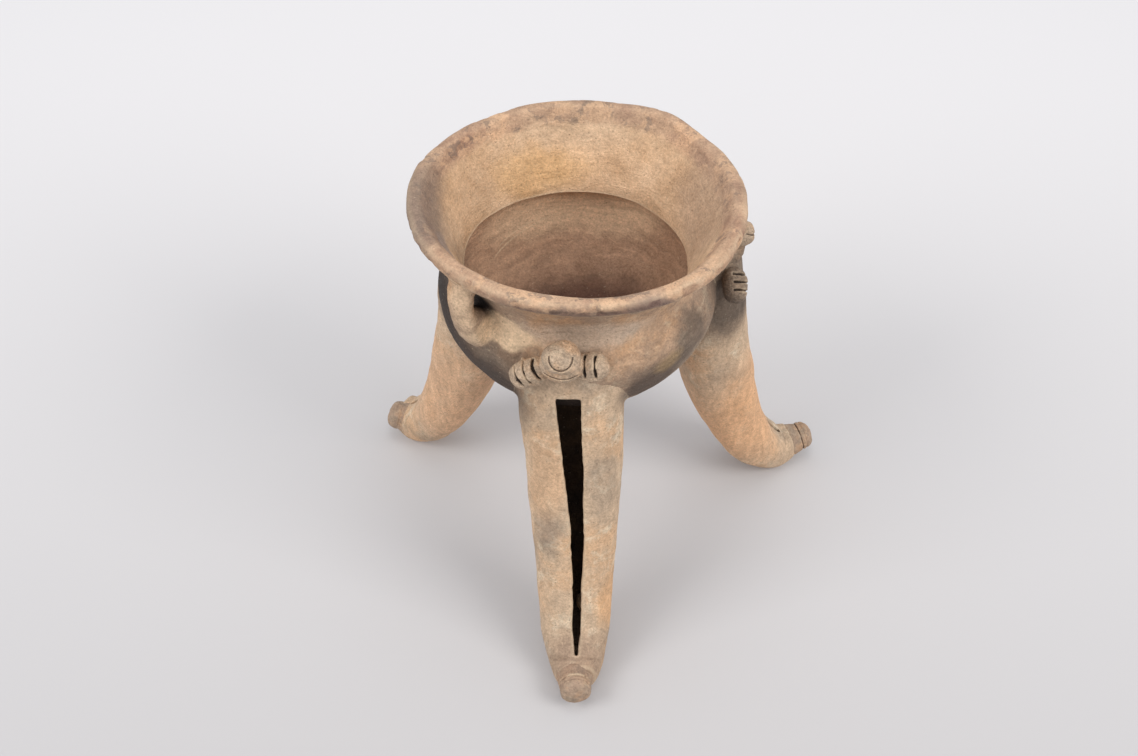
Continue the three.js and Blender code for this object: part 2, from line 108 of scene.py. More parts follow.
# Camera, light and floor.
studio = {
    "cameraPlace": (-19.76, -455.5, 686.5),
    "cameraDown": 49.296,  # degrees below level
    "lens": 41.01,
    "sky": "#f2f4f8",
    "skyStrength": 0.68,
    "floorFar": "#eeeced",
    # painted shade: the near paper is darker, as the lamps' light falls off towards the camera
    "floorNearShaded": "#bcbabb",
    "floorPales": (-0.35, 0.75),  # in metres: from near to far, front to back
    "floorFades": (0.85, 1.9),  # in metres from the middle: from lit paper to the plain backdrop
    "aim": (0, 0, 0.12),
    "lamps": [
        {"name": "softboxRight", "place": (900, -560, 1150), "size": 700, "power": 9.9, "colour": "#fffdfa"},
        {"name": "softboxLeft", "place": (-950, -480, 1150), "size": 700, "power": 8.9, "colour": "#fffefc"},
        {"name": "softboxTop", "place": (0, 100, 1900), "size": 900, "power": 5, "colour": "#ffffff"},
    ],
}

camera = bpy.data.objects.new("camera", bpy.data.cameras.new("camera"))
camera.data.lens = studio["lens"]
camera.data.sensor_width = 36
camera.data.clip_start = 0.01
camera.location = Vector(studio["cameraPlace"]) / 1000
camera.rotation_euler = (rad(90 - studio["cameraDown"]), 0, 0)
bpy.context.scene.collection.objects.link(camera)
bpy.context.scene.camera = camera

for lamp in studio["lamps"]:
    light = bpy.data.lights.new(lamp["name"], "AREA")
    light.size = lamp["size"] / 1000
    light.energy = lamp["power"]
    light.color = linear(lamp["colour"])[:3]
    holder = bpy.data.objects.new(lamp["name"], light)
    holder.location = Vector(lamp["place"]) / 1000
    aim = Vector(studio["aim"]) - holder.location
    holder.rotation_euler = aim.to_track_quat("-Z", "Y").to_euler()
    bpy.context.scene.collection.objects.link(holder)

world.use_nodes = True
world.node_tree.nodes.clear()
sky = addNode(world.node_tree, "Background",
              {"Color": linear(studio["sky"]), "Strength": studio["skyStrength"]})
backdrop = addNode(world.node_tree, "Background", {"Color": linear(studio["floorFar"]), "Strength": 1})
seen = addNode(world.node_tree, "LightPath")
shown = addNode(world.node_tree, "MixShader", {0: seen.outputs["Is Camera Ray"], 1: sky.outputs[0],
                                               2: backdrop.outputs[0]})
addNode(world.node_tree, "OutputWorld", {"Surface": shown.outputs[0]})

# Matt paper sweep: pale grey with painted shade near the camera that pales into the distance, so the vessel stands on
# nothing but its own shadow.
sweep = bpy.data.materials.new("matt_paper_sweep")
sweep.use_nodes = True
tree = sweep.node_tree
tree.nodes.clear()
spot = addNode(tree, "TexCoord")
depth = addNode(tree, "SeparateXYZ", {0: spot.outputs["Object"]})
nearEnd, farEnd = studio["floorPales"]
away = addNode(tree, "MapRange", {0: depth.outputs[1], 1: nearEnd, 2: farEnd, 3: 0, 4: 1},
               interpolation_type="SMOOTHSTEP")
paper = addNode(tree, "Mix", {0: away.outputs[0], 6: linear(studio["floorNearShaded"]), 7: linear(studio["floorFar"])},
                data_type="RGBA")
skin = addNode(tree, "BsdfDiffuse", {"Color": paper.outputs[2]})
# beyond the lamps' pool the paper fades into the backdrop, for the camera alone
far = addNode(tree, "VectorMath", {0: spot.outputs["Object"]}, operation="LENGTH")
nearEnd, farEnd = studio["floorFades"]
far = addNode(tree, "MapRange", {0: far.outputs["Value"], 1: nearEnd, 2: farEnd, 3: 0, 4: 1},
              interpolation_type="SMOOTHSTEP")
seen = addNode(tree, "LightPath")
far = addNode(tree, "Math", {0: far.outputs[0], 1: seen.outputs["Is Camera Ray"]}, operation="MULTIPLY")
glow = addNode(tree, "Emission", {"Color": linear(studio["floorFar"]), "Strength": 1})
skin = addNode(tree, "MixShader", {0: far.outputs[0], 1: skin.outputs[0], 2: glow.outputs[0]})
addNode(tree, "OutputMaterial", {"Surface": skin.outputs[0]})
bm = bmesh.new()
bmesh.ops.create_grid(bm, x_segments=2, y_segments=2, size=30)
floor = toObject(bm, "floor")
floor.data.materials.append(sweep)
print("stage: camera, light and floor")


# Clay. One body of marks lies over the whole vessel, so a smoke cloud runs on from lump to lump: each has its
# place and its reach in millimetres in the frame, its colour, how strongly it covers, and, where its edge is
# ragged and not soft, the shares of its reach between which it fades.
softEdge = (1.25, 0.45)
marks = {
    "sootLeftNeck": ((-98, 6, 228), (22, 54, 26), "#413731", 0.94),
    "sootLeftBowl": ((-88, 8, 194), (31, 52, 40), "#37302e", 0.95),
    "sootLowLeft": ((-65, -20, 186), (43, 42, 28), "#443a35", 0.94),
    "sootLowRight": ((24, -33, 191), (24, 20, 19), "#574a42", 0.9),
    "sootRightBand": ((43, -18, 207), (15, 19, 19), "#5f5248", 0.75),
    "sootRightLeg": ((62, 28, 192), (28, 38, 33), "#5b4f46", 0.9),
    # painted light: the band under the lip made paler, against the lip's own shadow
    "paintedLightUnderLip": ((-8, -36, 229), (44, 18, 9), "#c2ad99", 0.75),
    "sootBetween": ((-47, -31, 213), (13, 12, 8), "#6f5a49", 0.65),
    "sootLipSmear": ((20, -47, 259), (18, 8, 5), "#6f5c59", 0.8),
    # soot on the lip's front, with painted shade of the dark line under its overhang
    "sootAndShadeLipFront": ((-16, -49, 257.5), (52, 9, 7), "#6b534a", 0.85),
    "smearByHandle": ((-53, -28, 223.5), (20, 13, 8), "#dcc09f", 0.88, 1.22, 0.75),
    # painted shade: the dark hole under the strap, where the strap's web of clay fills the eye
    "paintedShadeHandleEye": ((-62, -16.5, 231), (9, 9, 9), "#1d1511", 1),
    "greyNeckBack": ((-10, 104, 246), (66, 16, 12), "#a08d78", 0.3),
    # painted light on the back of the bowl's inside wall
    "paintedLightBowlBack": ((-18, 90, 196), (70, 26, 17), "#dcbc9c", 0.9),
    "rubbedStrap": ((-70, -34, 243), (10, 10, 19), "#cdb092", 0.9),
    "pitThroat": ((-33.8, 93.1, 233.7), (1.5, 1.5, 1.5), "#55433a", 0.9),
    "ochreFlecks": ((30, -29, 203), (9, 9, 7), "#a98d66", 0.5),
    "dimHeelFront": ((-16, -88, 20), (22, 22, 20), "#937b6a", 0.7),
    "ochreThroat": ((-46, 90, 226), (40, 20, 14), "#d8ac74", 0.45),
    "greyLipLeft": ((-93, 20, 256), (19, 38, 19), "#7d6c61", 0.8, 1.35, 0.5),
    "greyLipSmear": ((-78, 2, 252), (10, 14, 9), "#8d7d74", 0.7, 1.1, 0.8),
    "greyRightNeck": ((52, 40, 236), (20, 44, 30), "#a08672", 0.6),
    # painted shade on the floor of the bowl's inside
    "paintedShadeBowlFloor": ((6, 50, 149), (112, 40, 23), "#553a31", 0.9),
    # painted shade on the right of the bowl's inside wall
    "paintedShadeBowlRight": ((44, 64, 184), (26, 36, 30), "#8a6850", 0.5),
    "ashLegFront": ((-31, -62, 103), (10, 14, 15), "#8a7c70", 0.55),
    "ashLegFrontRight": ((-3, -55, 135), (11, 14, 25), "#988878", 0.45),
    "emberLegFront": ((-32, -54, 140), (12, 14, 40), "#d2a67e", 0.45),
    "emberLegLow": ((4, -70, 46), (10, 16, 22), "#dcab7c", 0.65),
    "ashFrontTop": ((-18, -50, 208), (34, 16, 10), "#a5927f", 0.45),
    "emberLegRight": ((88, 50, 80), (50, 34, 64), "#e2af83", 0.75),
    "emberLegLeft": ((-90, 55, 80), (50, 34, 64), "#dcae88", 0.6),
    "ashLeftLeg": ((-84, 44, 170), (16, 22, 20), "#85756a", 0.5),
}
potMarks = ["paintedLightUnderLip", "sootLeftNeck", "sootLeftBowl", "sootLowLeft", "sootLowRight", "sootRightBand",
            "sootRightLeg", "sootBetween", "smearByHandle", "rubbedStrap", "paintedShadeHandleEye", "ochreThroat",
            "greyRightNeck", "greyNeckBack", "paintedLightBowlBack", "paintedShadeBowlFloor", "paintedShadeBowlRight", "pitThroat",
            "ochreFlecks"]


def clay(name, look):
    material = bpy.data.materials.new(name)
    material.use_nodes = True
    tree = material.node_tree
    tree.nodes.clear()

    def ramp(source, low, high, top, bottom=0, soft=True):
        # from bottom to top while the source goes from low to high
        kind = "SMOOTHSTEP" if soft else "LINEAR"
        return addNode(tree, "MapRange", {0: source, 1: low, 2: high, 3: bottom, 4: top},
                       interpolation_type=kind).outputs[0]

    def combine(operation, first, second):
        return addNode(tree, "Math", {0: first, 1: second}, operation=operation).outputs[0]

    def vector(operation, first, second):
        return addNode(tree, "VectorMath", {0: first, 1: second}, operation=operation)

    def overlay(share, under, over):
        over = linear(over) if isinstance(over, str) else over
        return addNode(tree, "Mix", {0: share, 6: under, 7: over}, data_type="RGBA").outputs[2]

    def mottle(where, size, detail, ragged):
        return addNode(tree, "TexNoise", {"Vector": where, "Scale": 1 / size, "Detail": detail,
                                          "Roughness": ragged})

    spot = addNode(tree, "TexCoord").outputs["Object"]
    spot = addNode(tree, "VectorMath", {0: spot, "Scale": 1000}, operation="SCALE").outputs[0]  # in mm
    # every edge of a mark or tone strays by this noise, so none is a plain round
    drift = mottle(spot, look["wanderSize"], 5, 0.62).outputs["Color"]
    drift = vector("SUBTRACT", drift, (0.5, 0.5, 0.5)).outputs[0]
    drift = addNode(tree, "VectorMath", {0: drift, "Scale": look["wander"]}, operation="SCALE").outputs[0]
    strayed = vector("ADD", spot, drift).outputs[0]

    # broad tones: where the fire reddened the clay, where smoke greyed it, and the pale bloom over both
    colour = linear(look["tones"][0]["colour"])
    for tone in look["tones"][1:]:
        spread = mottle(strayed, tone["size"], 6, tone.get("ragged", 0.6)).outputs[0]
        colour = overlay(ramp(spread, tone["from"], tone["to"], tone["cover"]), colour, tone["colour"])
    # the hollow side, lip or cavity that the piece paints by attribute; the legs' cavity and the bowl's wall over it
    # are painted shade
    for layer in look["layers"]:
        reach = addNode(tree, "Attribute", attribute_name=layer["attribute"]).outputs["Fac"]
        reach = ramp(reach, layer["from"], layer["to"], layer["cover"])
        spread = mottle(strayed, layer["size"], 6, 0.62).outputs[0]
        dark, pale = layer["colours"]
        tint = overlay(ramp(spread, 0.36, 0.64, 1, soft=False), linear(dark), pale)
        if "patchy" in layer:
            bare, full = layer["patchy"]
            reach = combine("MULTIPLY", reach, ramp(spread, bare, full, 1, soft=False))
        colour = overlay(reach, colour, tint)
    for mark in look["marks"]:
        centre, reach, tint, cover, *edge = marks[mark]
        outerEdge, innerEdge = edge or softEdge
        step = vector("DIVIDE", vector("SUBTRACT", strayed, centre).outputs[0], reach).outputs[0]
        step = addNode(tree, "VectorMath", {0: step}, operation="LENGTH").outputs["Value"]
        colour = overlay(ramp(step, outerEdge, innerEdge, cover), colour, tint)
    for scratch in look["scratches"]:
        off = vector("DOT_PRODUCT", spot, scratch["normal"]).outputs["Value"]
        off = combine("SUBTRACT", off, scratch["distance"])
        off = addNode(tree, "Math", {0: off}, operation="ABSOLUTE").outputs[0]
        line = ramp(off, scratch["width"] * 1.6, scratch["width"] * 0.5, 0.7, soft=False)
        span = vector("DISTANCE", spot, scratch["centre"]).outputs["Value"]
        span = ramp(span, scratch["reach"], scratch["reach"] * 0.7, 1, soft=False)
        colour = overlay(combine("MULTIPLY", line, span), colour, look["scratchColour"])

    # wiping strokes, drawn out along the way the hand went
    wiped = vector("MULTIPLY", strayed, look["strokes"]).outputs[0]
    strokes = mottle(wiped, 1, 4, 0.55).outputs[0]
    # mottling and grit: blotches, grain, and dark and pale temper of about 0.8 mm
    blotch = mottle(spot, look["blotchSize"], 5, 0.65).outputs[0]
    grain = mottle(spot, look["grainSize"], 4, 0.7).outputs[0]
    for source, low, high, strength in (
        (strokes, 0.3, 0.7, look["strokeDepth"]),
        (blotch, 0.28, 0.72, look["blotchDepth"]),
        (grain, 0.25, 0.75, look["grainDepth"]),
    ):
        tone = ramp(source, low, high, 1 + strength, 1 - strength, soft=False)
        colour = addNode(tree, "VectorMath", {0: colour, "Scale": tone}, operation="SCALE").outputs[0]
    temper = addNode(tree, "TexVoronoi", {"Vector": spot, "Scale": 1 / look["gritSpacing"], "Randomness": 1})
    chosen = addNode(tree, "SeparateXYZ", {0: temper.outputs["Color"]})
    near = ramp(temper.outputs["Distance"], 0.42, 0.12, 1, soft=False)
    for channel, tint, cover in ((0, look["grit"][0], 0.6), (1, look["grit"][1], 0.3)):
        picked = ramp(chosen.outputs[channel], 1 - look["gritShare"], 1, cover, soft=False)
        colour = overlay(combine("MULTIPLY", picked, near), colour, tint)
    # rubbed edges bare the paler clay, and hollows keep dark dirt
    relief = addNode(tree, "Attribute", attribute_name="relief").outputs["Fac"]
    colour = overlay(ramp(relief, 0.12, 0.6, look["rubbed"]), colour, look["rubbedColour"])
    colour = overlay(ramp(relief, -0.1, -0.6, look["dirt"]), colour, look["dirtColour"])

    smoothest, roughest = look["rough"]
    matt = ramp(blotch, 0.3, 0.7, roughest, smoothest, soft=False)
    # bump: sandy grain, low lumps of the fingers, strokes, and the pits where temper fell out
    height = combine("MULTIPLY", grain, look["grainBump"])
    for source, depth in ((blotch, look["blotchBump"]), (strokes, look["strokeBump"]), (near, -look["pitDepth"])):
        height = combine("ADD", height, combine("MULTIPLY", source, depth))
    bump = addNode(tree, "Bump", {"Height": height, "Strength": 1, "Distance": look["bump"] / 1000})
    shader = addNode(tree, "BsdfPrincipled", {"Base Color": colour, "Roughness": matt,
                                              "Normal": bump.outputs[0], "IOR": 1.45,
                                              "Specular IOR Level": look["gloss"]})
    addNode(tree, "OutputMaterial", {"Surface": shader.outputs[0]})
    return material


# what every clay starts from: sizes in mm, and depths as shares of the colour or of the bump
plainLook = {
    "wander": 17, "wanderSize": 24,
    "strokes": (1 / 14, 1 / 14, 1 / 3), "strokeDepth": 0.08, "strokeBump": 0.5,
    "blotchSize": 5, "blotchDepth": 0.2, "blotchBump": 0.42,
    "grainSize": 1.2, "grainDepth": 0.3, "grainBump": 0.16,
    "grit": ("#4a3d34", "#dccab0"), "gritSpacing": 1.3, "gritShare": 0.1, "pitDepth": 0.12,
    "rubbed": 0.5, "rubbedColour": "#d9c2a4",
    "dirt": 0.6, "dirtColour": "#3a2f29",
    "scratchColour": "#d8bd9e",
    "rough": (0.74, 0.92), "gloss": 0.3, "bump": 1.1,
    "layers": [], "marks": [], "scratches": [],
}
greyBloom = {"colour": "#9c8b79", "size": 34, "from": 0.49, "to": 0.64, "cover": 0.65}
emberBloom = {"colour": "#d3a377", "size": 46, "from": 0.46, "to": 0.62, "cover": 0.75}
paleBloom = {"colour": "#dcc7a9", "size": 15, "from": 0.5, "to": 0.7, "cover": 0.5, "ragged": 0.7}

# thin pale scratches: each lies in a plane (its normal, and how far it is from the frame's origin) and reaches
# so far about a centre, in mm
scratches = [
    {"normal": (0.130, 0.204, -0.970), "distance": -169.5, "centre": (-44, 83, 186), "reach": 26, "width": 0.35},
    {"normal": (-0.046, 0.418, -0.907), "distance": -133.4, "centre": (-48, 83, 188), "reach": 17, "width": 0.28},
]
# on the pot the slip has flaked: pale and dark patches with ragged, sharp edges
potTones = [{"colour": "#a58b75"}, {**emberBloom, "cover": 0.5}, greyBloom,
            {**paleBloom, "size": 9, "cover": 0.35},
            {"colour": "#cba788", "size": 22, "from": 0.58, "to": 0.6, "cover": 0.45, "ragged": 0.72},
            {"colour": "#786659", "size": 13, "from": 0.62, "to": 0.64, "cover": 0.45, "ragged": 0.75}]

looks = {
    # wet-wiped buff terracotta: orange-buff inside the mouth, greyed and sooty outside, with a rubbed lip
    "neck_clay": {
        "tones": potTones,
        "layers": [
            {"attribute": "inside", "from": 0.55, "to": 0.8, "cover": 1, "size": 30,
             "colours": ("#c09d7b", "#dab998")},
            {"attribute": "lip", "from": 0.1, "to": 0.9, "cover": 0.85, "size": 17,
             "colours": ("#967461", "#c4a285")},
            {"attribute": "lip", "from": 0.2, "to": 0.6, "cover": 0.65, "size": 19, "patchy": (0.47, 0.445),
             "colours": ("#d3ad8b", "#b98f70")},
            {"attribute": "lip", "from": 0.2, "to": 0.6, "cover": 0.6, "size": 9, "patchy": (0.415, 0.39),
             "colours": ("#75655b", "#6b5a50")},
            {"attribute": "drag", "from": 0.3, "to": 1.1, "cover": 0.9, "size": 4.5, "patchy": (0.54, 0.46),
             "colours": ("#3d322c", "#8a7261")},
        ],
        "marks": potMarks + ["sootLipSmear", "sootAndShadeLipFront", "greyLipLeft", "greyLipSmear"],
        "strokes": (1 / 30, 1 / 30, 1 / 2.4),
        "blotchDepth": 0.14,
    },
    # smoked terracotta: buff shoulder under black fire clouds, brown and streaked within
    "bowl_clay": {
        "tones": potTones,
        "layers": [
            {"attribute": "inside", "from": 0.55, "to": 0.8, "cover": 1, "size": 30,
             "colours": ("#a08068", "#bd9a7f")},
            # painted shade: the bowl's wall where it closes the top of a leg, dark inside the cavity
            {"attribute": "legCavityShade", "from": 0.1, "to": 0.8, "cover": 1, "size": 20,
             "colours": ("#2a211c", "#3a2d25")},
        ],
        "marks": potMarks,
        "strokes": (1 / 34, 1 / 34, 1 / 2.2),
        "strokeDepth": 0.16,
        "blotchDepth": 0.15,
        "scratches": scratches,
    },
    # scraped buff terracotta: paler and warmer than the bowl, orange where the fire reached it
    "leg_clay": {
        "tones": [{"colour": "#c8ad91"}, {**emberBloom, "colour": "#d6ac84", "cover": 0.6},
                  {**greyBloom, "cover": 0.55},
                  {**paleBloom, "colour": "#e2d2b8", "size": 12, "cover": 0.6}],
        "layers": [
            # painted shade: the cavity and the slit's walls dark with depth
            {"attribute": "inside", "from": 0.05, "to": 0.75, "cover": 1, "size": 20,
             "colours": ("#3a2d25", "#5c4632")},
        ],
        "marks": ["ashLegFront", "ashLegFrontRight", "emberLegFront", "emberLegLow", "ashFrontTop",
                  "emberLegRight", "emberLegLeft", "sootRightLeg", "ashLeftLeg", "sootLowLeft", "sootLowRight",
                  "dimHeelFront"],
        "strokes": (1 / 2.6, 1 / 2.6, 1 / 30),
        "strokeDepth": 0.15,
        "strokeBump": 0.2,
        "grainDepth": 0.3,
        "blotchDepth": 0.11,
    },
    # pinched terracotta: worn pinkish buff with dirt in the incised rings
    "toe_clay": {
        "tones": [{"colour": "#a68e7a"}, {**emberBloom, "size": 12, "cover": 0.3}, {**greyBloom, "size": 9},
                  paleBloom],
        "marks": ["dimHeelFront"],
        "dirt": 0.85,
    },
    # modelled terracotta: greyed buff, rubbed pale on the snouts and knuckles, dark in every groove
    "figure_clay": {
        "tones": [{"colour": "#b59e87"}, {**emberBloom, "size": 18, "cover": 0.4}, {**greyBloom, "size": 12},
                  paleBloom],
        "layers": [
            {"attribute": "cut", "from": 0.15, "to": 0.8, "cover": 0.9, "size": 3, "colours": ("#2b211c", "#43352c")},
        ],
        "marks": ["sootRightLeg"],
        "rubbed": 0.4,
        "dirt": 0.75,
        "grainDepth": 0.5,
        "bump": 1.7,
    },
    # terracotta strap smeared on with the thumb: the pot's own buff, with painted shade black in its eye
    "handle_clay": {"tones": potTones, "marks": potMarks, "dirt": 0.7, "grainDepth": 0.36},
    # rolled terracotta ball: dusty brown, never wiped
    "pellet_clay": {"tones": [{"colour": "#9a7858"}, {**greyBloom, "size": 6}], "rubbed": 0.3},
}
clays = {name: clay(name, {**plainLook, **look}) for name, look in looks.items()}
print("stage: clay")


# The vessel's own frame, and the way home to the frame's origin on the floor.
stance = {"rimHeight": 256, "leanBack": 4.25, "leanSide": 1.35, "home": (-15.656, 32.884, 0)}
lean = (Matrix.Translation((0, 0, stance["rimHeight"])) @ Matrix.Rotation(rad(-stance["leanBack"]), 4, "X")
        @ Matrix.Rotation(rad(stance["leanSide"]), 4, "Y"))


def onVessel(bearing):
    return lean @ Matrix.Rotation(rad(bearing), 4, "Z")


def swell(v, direction, sizes):
    # uneven hand-built surface: bumps of each size in mm, each with its own height
    v.co += direction * sum(height * noise.noise(v.co / size) for size, height in sizes)


def uneven(bm, sizes):
    bm.normal_update()
    for v in bm.verts:
        swell(v, v.normal, sizes)
    bm.normal_update()


def paintRelief(bm, reach=3):
    # how far each point stands proud of its neighbours: above nothing on edges, below it in grooves
    bm.normal_update()
    bm.verts.index_update()
    places = np.array([v.co for v in bm.verts])
    normals = np.array([v.normal for v in bm.verts])
    ends = np.array([[e.verts[0].index, e.verts[1].index] for e in bm.edges])
    steps = places[ends[:, 1]] - places[ends[:, 0]]
    steps /= np.maximum(np.linalg.norm(steps, axis=1), 1e-6)[:, None]
    count = np.bincount(ends.ravel(), minlength=len(places)).clip(1)
    total = np.bincount(ends[:, 0], -(normals[ends[:, 0]] * steps).sum(1), len(places))
    total += np.bincount(ends[:, 1], (normals[ends[:, 1]] * steps).sum(1), len(places))
    relief = total / count * 4
    for _ in range(reach):
        passed = np.bincount(ends[:, 0], relief[ends[:, 1]], len(places))
        passed += np.bincount(ends[:, 1], relief[ends[:, 0]], len(places))
        relief = (relief + passed / count) / 2
    layer = bm.verts.layers.float.new("relief")
    calm = bm.verts.layers.float.get("calm")
    for v, value in zip(bm.verts, relief.clip(-1, 1)):
        v[layer] = value * (1 - v[calm]) if calm else value


def place(bm, name, nodes, body, slot, crisp=None):
    # brings a piece made in millimetres home, keeps it inside the CAD box, and hands it to the frame
    paintRelief(bm)
    bm.transform(Matrix.Scale(0.001, 4) @ Matrix.Translation(stance["home"]))
    for v in bm.verts:
        v.co = [min(max(c, low), high) for c, low, high in zip(v.co, cadLow, cadHigh)]
    for face in bm.faces:
        face.smooth = True
    if crisp:
        for edge in bm.edges:
            edge.smooth = len(edge.link_faces) != 2 or edge.calc_face_angle(0) < rad(crisp)
    piece = toObject(bm, name)
    piece.data.materials.append(clays[slot])
    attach(piece, body)
    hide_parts(*nodes)


# Neck and bowl: one outline, turned about the axis and parted at the seam.
pot = {
    # the outline, by radius and by height under the rim
    "rimRadius": 80.75, "lip": 4.25, "throat": 58, "seam": -40, "neckFoot": 67.8, "neckWall": 65,
    "bowlRadius": 74, "bowlDepth": 60, "widest": -53, "wall": 6.5, "fullness": 1.92,
    "shoulderArc": 180 / 2.6, "neckCurve": 2.2, "innerCurve": 1.45, "lipSquareness": 2.9, "lipTurn": 0.72,
    "innerTop": (0.9, 0.6), "seamGap": 0.6, "fillInset": 2, "step": 1.15, "turns": 400,
    # what the hand did: dents of the mouth (bearing, spread, push), bumps, and the bowl a little to one side
    "dents": [(57, 9, 3.6), (125, 28, -2.6), (-50, 24, 1.2)],
    "swells": [(46, 1.1), (17, 0.5), (6, 0.2)],
    "shift": 2, "shiftFades": -28,
    "lipPainted": (-9, 1), "lipWave": (38, 1.1),
    "nibble": {"height": 0.5, "reach": 4, "from": (79, 84), "depth": 2, "spared": 0.12},
    "dragLine": {"height": -1.2, "reach": 1.9, "bearing": -82, "spread": 24, "elsewhere": 0.4},
    "underLip": {"height": -6.4, "reach": 1.6, "depth": 1.1},
    "seamSmoothed": {"height": (6, 3), "radius": (62, 64)},
}


def bowlSide(wall):
    # from the pole under the bowl up to the seam, with so much wall taken off
    points = []
    power = 2 / pot["fullness"]
    for i in range(61):
        a = i / 60 * math.pi / 2
        points.append(((pot["bowlRadius"] - wall) * math.sin(a) ** power,
                       pot["widest"] - (pot["bowlDepth"] - wall) * math.cos(a) ** power))
    arc = rad(pot["shoulderArc"])
    for i in range(1, 13):
        a = i / 12 * arc
        drawn = (1 - math.cos(a)) / (1 - math.cos(arc))
        points.append((pot["bowlRadius"] - wall + (pot["neckFoot"] - pot["bowlRadius"]) * drawn,
                       pot["widest"] + (pot["seam"] - pot["widest"]) * math.sin(a) / math.sin(arc)))
    return points


def neckSide():
    # from the seam up to the underside of the lip
    points = []
    for i in range(1, 31):
        share = i / 30
        foot = (pot["neckFoot"] - pot["neckWall"]) * max(0, 1 - 3 * share) ** 2
        points.append((pot["neckWall"] + foot + (pot["rimRadius"] - pot["neckWall"]) * share ** pot["neckCurve"],
                       pot["seam"] + (-pot["lip"] - pot["seam"]) * share))
    return points


def evenly(points, step):
    # the same line with its points a step apart
    line = [Vector((r, 0, z)) for r, z in points]
    lengths = [0]
    for a, b in zip(line, line[1:]):
        lengths.append(lengths[-1] + (b - a).length)
    count = max(2, round(lengths[-1] / step))
    out, at = [], 0
    for i in range(count + 1):
        want = lengths[-1] * i / count
        while at < len(line) - 2 and lengths[at + 1] < want:
            at += 1
        span = max(lengths[at + 1] - lengths[at], 1e-9)
        out.append(line[at].lerp(line[at + 1], (want - lengths[at]) / span))
    return out


def softened(line, rounds):
    for _ in range(rounds):
        line = [line[0]] + [(a + b * 2 + c) / 4 for a, b, c in zip(line, line[1:], line[2:])] + [line[-1]]
    return line


def spun(line, closed, turns):
    bm = bmesh.new()
    verts = [bm.verts.new(p) for p in line]
    edges = [bm.edges.new(pair) for pair in zip(verts, verts[1:])]
    if closed:
        edges.append(bm.edges.new((verts[-1], verts[0])))
    bmesh.ops.spin(bm, geom=verts + edges, axis=(0, 0, 1), cent=(0, 0, 0), angle=2 * math.pi, steps=turns,
                   use_merge=True)
    bmesh.ops.remove_doubles(bm, verts=bm.verts, dist=1e-3)
    bmesh.ops.recalc_face_normals(bm, faces=bm.faces)
    return bm


def outwards(p):
    # straight out from the axis, and round under the bowl
    return Vector((p.x, p.y, min(0, p.z - pot["widest"]))).normalized()


def lipPush(p):
    # the lip isn't round: each dent has a bearing, a spread in degrees and a push in mm
    bearing = math.degrees(math.atan2(p.y, p.x))
    push = 0
    for at, spread, depth in pot["dents"]:
        aside = (bearing - at + 180) % 360 - 180
        push += depth * math.exp(-0.5 * (aside / spread) ** 2)
    return push * max(0, 1 - p.z / pot["seam"]) ** 1.5


def shaped(bm):
    # unevenness of the hand, then the lean of the whole vessel
    inside = bm.verts.layers.float.new("inside")
    lip = bm.verts.layers.float.new("lip")
    drag = bm.verts.layers.float.new("drag")  # the finger's drag line under the lip
    calm = bm.verts.layers.float.new("calm")  # the seam was smoothed over, so it shows no edge
    nibble, line, under, seam = (pot[key] for key in ("nibble", "dragLine", "underLip", "seamSmoothed"))
    waveSize, waveHeight = pot["lipWave"]
    bm.normal_update()
    for v in bm.verts:
        way = outwards(v.co)
        v[inside] = 0.5 - 0.5 * v.normal.dot(way)
        v[lip] = blend(*pot["lipPainted"], v.co.z)
        v[calm] = blend(*seam["height"], abs(v.co.z - pot["seam"])) * blend(*seam["radius"], v.co.xy.length)
        push = lipPush(v.co)
        faded = blend(pot["shiftFades"], pot["widest"], v.co.z)
        swell(v, way, pot["swells"])
        # knocks and chips along the lip's outer edge, and the drag line of the finger under it
        edge = bell(v.co.z, nibble["height"], nibble["reach"]) * blend(*nibble["from"], v.co.xy.length)
        chip = max(0, noise.noise(v.co / 8) + 0.5 * noise.noise(v.co / 3) - nibble["spared"])
        v.co -= way * edge * nibble["depth"] * chip
        bearing = math.degrees(math.atan2(v.co.y, v.co.x))
        if v.normal.dot(way) > 0:
            broken = line["elsewhere"] + bell(bearing, line["bearing"], line["spread"])
            v[drag] = bell(v.co.z, line["height"], line["reach"]) * broken
            v.co -= way * under["depth"] * bell(v.co.z, under["height"], under["reach"])
        v.co += Vector((v.co.x, v.co.y, 0)).normalized() * push if v.co.xy.length > 1 else Vector()
        v.co.z += waveHeight * noise.noise(v.co / waveSize) * v[lip]
        v.co.x += pot["shift"] * faded
    bm.transform(lean)
    bm.normal_update()
    return bm


outer = softened(evenly(bowlSide(0) + neckSide(), pot["step"]), 40)
seamAt = min(range(len(outer)), key=lambda i: abs(outer[i].z - pot["seam"]))
seamPoint = outer[seamAt]
lipLine = []
for i in range(1, 14):
    a = -math.pi / 2 + (math.pi * pot["lipTurn"] + math.pi / 2) * i / 14
    c, d = (squared(w, pot["lipSquareness"]) for w in (math.cos(a), math.sin(a)))
    lipLine.append((pot["rimRadius"] + pot["lip"] * c, pot["lip"] * d))
topAside, topRise = pot["innerTop"]
innerTop = (pot["rimRadius"] - pot["lip"] * topAside, pot["lip"] * topRise)
innerLine = []
for i in range(31):
    share = 1 - i / 30
    innerLine.append((pot["throat"] + (innerTop[0] - pot["throat"]) * share ** pot["innerCurve"],
                      pot["seam"] + pot["seamGap"] + (innerTop[1] - pot["seam"] - pot["seamGap"]) * share))
over = softened(evenly([(p.x, p.z) for p in outer[seamAt:]] + lipLine + innerLine, pot["step"]), 2)
ledge = [Vector((pot["throat"] + 0.9, 0, pot["seam"])), Vector((seamPoint.x - 3, 0, pot["seam"]))]
neck = shaped(spun(over + ledge, True, pot["turns"]))

